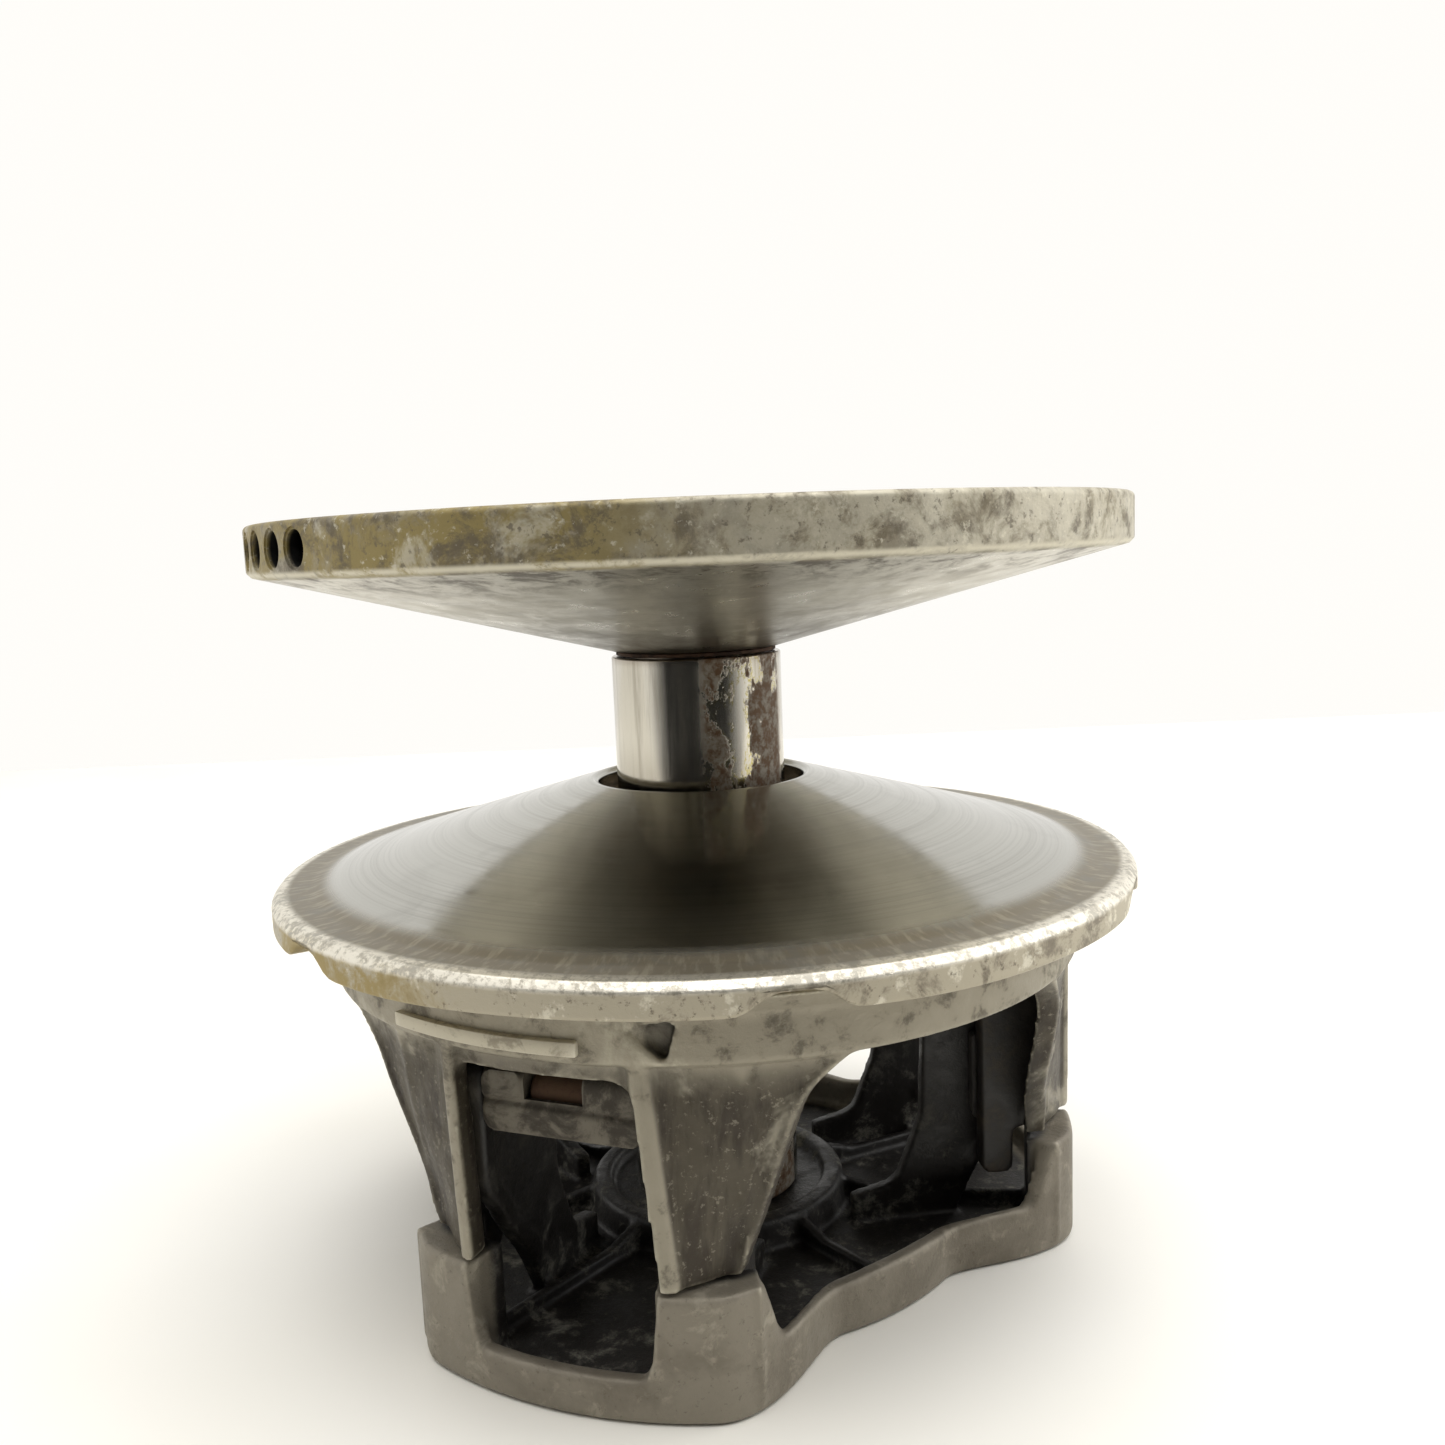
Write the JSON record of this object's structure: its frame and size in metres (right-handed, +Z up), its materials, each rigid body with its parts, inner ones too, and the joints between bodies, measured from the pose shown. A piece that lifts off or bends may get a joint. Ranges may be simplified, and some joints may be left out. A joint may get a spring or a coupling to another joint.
{
  "type": "centrifugal variable-ratio drive clutch",
  "caption": "Belt-drive clutch: fixed and sliding cone sheaves on a steel post, with a lobed governor cup whose roller levers push the sheaves together as speed rises.",
  "frame": {"origin": "on the shaft axis, in the plane that the governor cup stands on", "axes": "+Z up the shaft from the governor cup to the fixed sheave; -Y towards the lobe with the front window"},
  "size_m": [0.2102, 0.2102, 0.1812],
  "materials": {
    "fixed_sheave_cast": "weathered casting, turned belt face",
    "sliding_sheave_cast": "weathered casting, turned belt face",
    "cup_cast": "sand casting, dark belt dust inside",
    "lever_cast": "satin casting",
    "polished_steel": "ground",
    "zinc_steel": "dulled zinc plating",
    "rusty_steel": "brown surface rust",
    "spring_steel": "oiled wire",
    "bronze": "satin",
    "shoe_polymer": "matt"
  },
  "bodies": {
    "shaft": {"fixed_sheave": "fixed_sheave_cast", "back_rib_1": "fixed_sheave_cast", "back_rib_2": "fixed_sheave_cast", "back_rib_3": "fixed_sheave_cast", "back_rib_4": "fixed_sheave_cast", "back_rib_5": "fixed_sheave_cast", "back_rib_6": "fixed_sheave_cast", "post": "polished_steel", "hub_spacer": "rusty_steel", "guide_collar": "bronze", "governor_cup": "cup_cast", "clutch_bolt": "zinc_steel", "bolt_washer": "zinc_steel", "main_spring": "spring_steel", "lever_bolt_1": "zinc_steel", "lever_bolt_2": "zinc_steel", "lever_bolt_3": "zinc_steel", "lever_nut_1": "zinc_steel", "lever_nut_2": "zinc_steel", "lever_nut_3": "zinc_steel", "slider_shoe_1_left": "shoe_polymer", "slider_shoe_1_right": "shoe_polymer", "slider_shoe_2_left": "shoe_polymer", "slider_shoe_2_right": "shoe_polymer", "slider_shoe_3_left": "shoe_polymer", "slider_shoe_3_right": "shoe_polymer"},
    "sliding_half": {"sliding_sheave": "sliding_sheave_cast", "tower_1": "sliding_sheave_cast", "tower_2": "sliding_sheave_cast", "tower_3": "sliding_sheave_cast", "ramp_clevis_1": "sliding_sheave_cast", "ramp_clevis_2": "sliding_sheave_cast", "ramp_clevis_3": "sliding_sheave_cast", "spring_cover": "lever_cast", "cover_screw_1": "zinc_steel", "cover_screw_2": "zinc_steel", "cover_screw_3": "zinc_steel", "cover_screw_4": "zinc_steel", "cover_screw_5": "zinc_steel", "cover_screw_6": "zinc_steel", "ramp_1": "polished_steel", "ramp_2": "polished_steel", "ramp_3": "polished_steel", "ramp_screw_1": "zinc_steel", "ramp_screw_2": "zinc_steel", "ramp_screw_3": "zinc_steel"},
    "lever_arm_1": {"lever_1": "lever_cast", "lever_bush_1": "rusty_steel", "roller_pin_1": "polished_steel"},
    "roller_wheel_1": {"roller_1": "polished_steel"},
    "lever_arm_2": {"lever_2": "lever_cast", "lever_bush_2": "rusty_steel", "roller_pin_2": "polished_steel"},
    "roller_wheel_2": {"roller_2": "polished_steel"},
    "lever_arm_3": {"lever_3": "lever_cast", "lever_bush_3": "rusty_steel", "roller_pin_3": "polished_steel"},
    "roller_wheel_3": {"roller_3": "polished_steel"}
  },
  "joints": [
    {"name": "sheave_slide", "type": "slide", "parent": "shaft", "child": "sliding_half", "axis": [0, 0, 1], "range_m": [0, 0.03], "stiffness_N_per_m": 9000, "springref_m": -0.015, "deforming": ["main_spring"]},
    {"name": "lever_swing_1", "type": "hinge", "parent": "shaft", "child": "lever_arm_1", "pos_m": [0, -0.0745, 0.062], "axis": [1, 0, 0], "range_deg": [0, 58]},
    {"name": "lever_swing_2", "type": "hinge", "parent": "shaft", "child": "lever_arm_2", "pos_m": [0.06452, 0.03725, 0.062], "axis": [-0.5, 0.866, 0], "range_deg": [0, 58]},
    {"name": "lever_swing_3", "type": "hinge", "parent": "shaft", "child": "lever_arm_3", "pos_m": [-0.06452, 0.03725, 0.062], "axis": [-0.5, -0.866, 0], "range_deg": [0, 58]},
    {"name": "roller_spin_1", "type": "hinge", "parent": "lever_arm_1", "child": "roller_wheel_1", "pos_m": [0, -0.04866, 0.05259], "axis": [1, 0, 0], "continuous": true},
    {"name": "roller_spin_2", "type": "hinge", "parent": "lever_arm_2", "child": "roller_wheel_2", "pos_m": [0.04214, 0.02433, 0.05259], "axis": [-0.5, 0.866, 0], "continuous": true},
    {"name": "roller_spin_3", "type": "hinge", "parent": "lever_arm_3", "child": "roller_wheel_3", "pos_m": [-0.04214, 0.02433, 0.05259], "axis": [-0.5, -0.866, 0], "continuous": true}
  ],
  "couplings": [
    {"joint": "lever_swing_1", "follows": "sheave_slide", "rad_per_m": 33.743},
    {"joint": "lever_swing_2", "follows": "sheave_slide", "rad_per_m": 33.743},
    {"joint": "lever_swing_3", "follows": "sheave_slide", "rad_per_m": 33.743}
  ]
}
